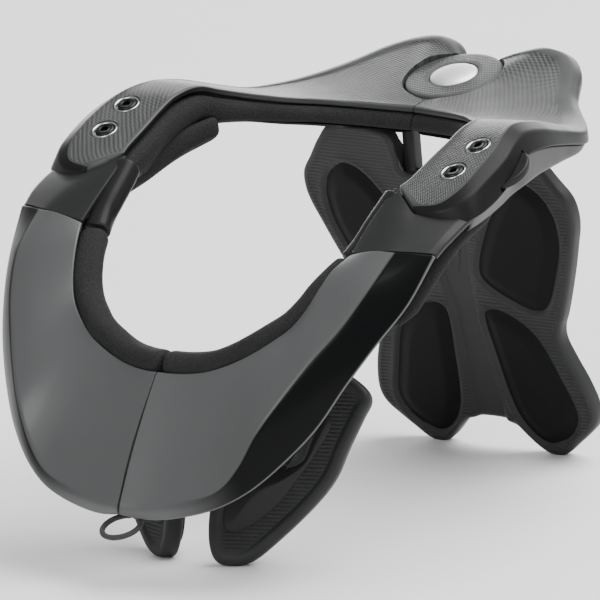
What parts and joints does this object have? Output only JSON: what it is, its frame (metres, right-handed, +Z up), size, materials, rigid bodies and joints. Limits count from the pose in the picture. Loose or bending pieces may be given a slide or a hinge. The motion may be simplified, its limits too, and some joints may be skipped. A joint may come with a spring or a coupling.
{
  "type": "motocross neck brace",
  "caption": "Dark motocross neck brace standing on its chest wings and back stabiliser, with a foam-lined hinged collar and glossy front shells.",
  "frame": {"origin": "the middle of the footprint on the floor, under the bounding box", "axes": "+Z up; -Y is the wearer's front; +X is the wearer's left"},
  "size_m": [0.2992, 0.3574, 0.2198],
  "materials": {
    "gloss_shell": "smooth satin-gloss moulded plastic",
    "matte_frame": "fine matte",
    "satin_cover": "satin",
    "woven_plate": "fine woven grain with smooth edges",
    "foam": "grainy soft foam",
    "moulded_foam": "matte with fine mesh grain",
    "bolt_cup": "turned and polished",
    "bolt_steel": "dark turned steel",
    "button_metal": "satin domed",
    "cord": "braided cord"
  },
  "bodies": {
    "hub": {"hub_disc": "woven_plate", "hub_button": "button_metal", "hub_plate": "matte_frame", "back_stabiliser": "moulded_foam", "left_stabiliser_upper_pad": "foam", "right_stabiliser_upper_pad": "foam", "left_stabiliser_lower_pad": "foam", "right_stabiliser_lower_pad": "foam"},
    "left_half": {"left_front_shell": "gloss_shell", "left_collar_beam": "matte_frame", "left_side_plate": "matte_frame", "left_inner_cover": "satin_cover", "left_front_pad": "foam", "left_rear_frame": "woven_plate", "left_rear_base": "satin_cover", "left_rear_pad": "foam", "left_shoulder_pad": "foam", "left_front_bolt_cup": "bolt_cup", "left_rear_bolt_cup": "bolt_cup", "left_front_bolt": "bolt_steel", "left_rear_bolt": "bolt_steel", "left_chest_wing": "moulded_foam", "left_chest_insert": "foam", "left_chest_pad": "foam", "pull_loop": "cord"},
    "right_half": {"right_front_shell": "gloss_shell", "right_collar_beam": "matte_frame", "right_side_plate": "matte_frame", "right_inner_cover": "satin_cover", "right_front_pad": "foam", "right_rear_frame": "woven_plate", "right_rear_base": "satin_cover", "right_rear_pad": "foam", "right_shoulder_pad": "foam", "right_front_bolt_cup": "bolt_cup", "right_rear_bolt_cup": "bolt_cup", "right_front_bolt": "bolt_steel", "right_rear_bolt": "bolt_steel", "right_chest_wing": "moulded_foam", "right_chest_insert": "foam", "right_chest_pad": "foam"},
    "left_lever": {"left_release_lever": "satin_cover"},
    "right_lever": {"right_release_lever": "satin_cover"}
  },
  "joints": [
    {"name": "left_half_swing", "type": "hinge", "parent": "hub", "child": "left_half", "pos_m": [0, 0.13983, 0.2078], "axis": [0, -0.232, 0.9727], "range_deg": [0, 20]},
    {"name": "right_half_swing", "type": "hinge", "parent": "hub", "child": "right_half", "pos_m": [0, 0.13983, 0.2078], "axis": [0, 0.232, -0.9727], "range_deg": [0, 20]},
    {"name": "left_lever_swing", "type": "hinge", "parent": "left_half", "child": "left_lever", "pos_m": [0.13262, -0.00138, 0.19383], "axis": [0, 0.4479, -0.8941], "range_deg": [0, 40], "stiffness_Nm_per_rad": 0.05},
    {"name": "right_lever_swing", "type": "hinge", "parent": "right_half", "child": "right_lever", "pos_m": [-0.13262, -0.00138, 0.19383], "axis": [0, -0.4479, 0.8941], "range_deg": [0, 40], "stiffness_Nm_per_rad": 0.05}
  ]
}
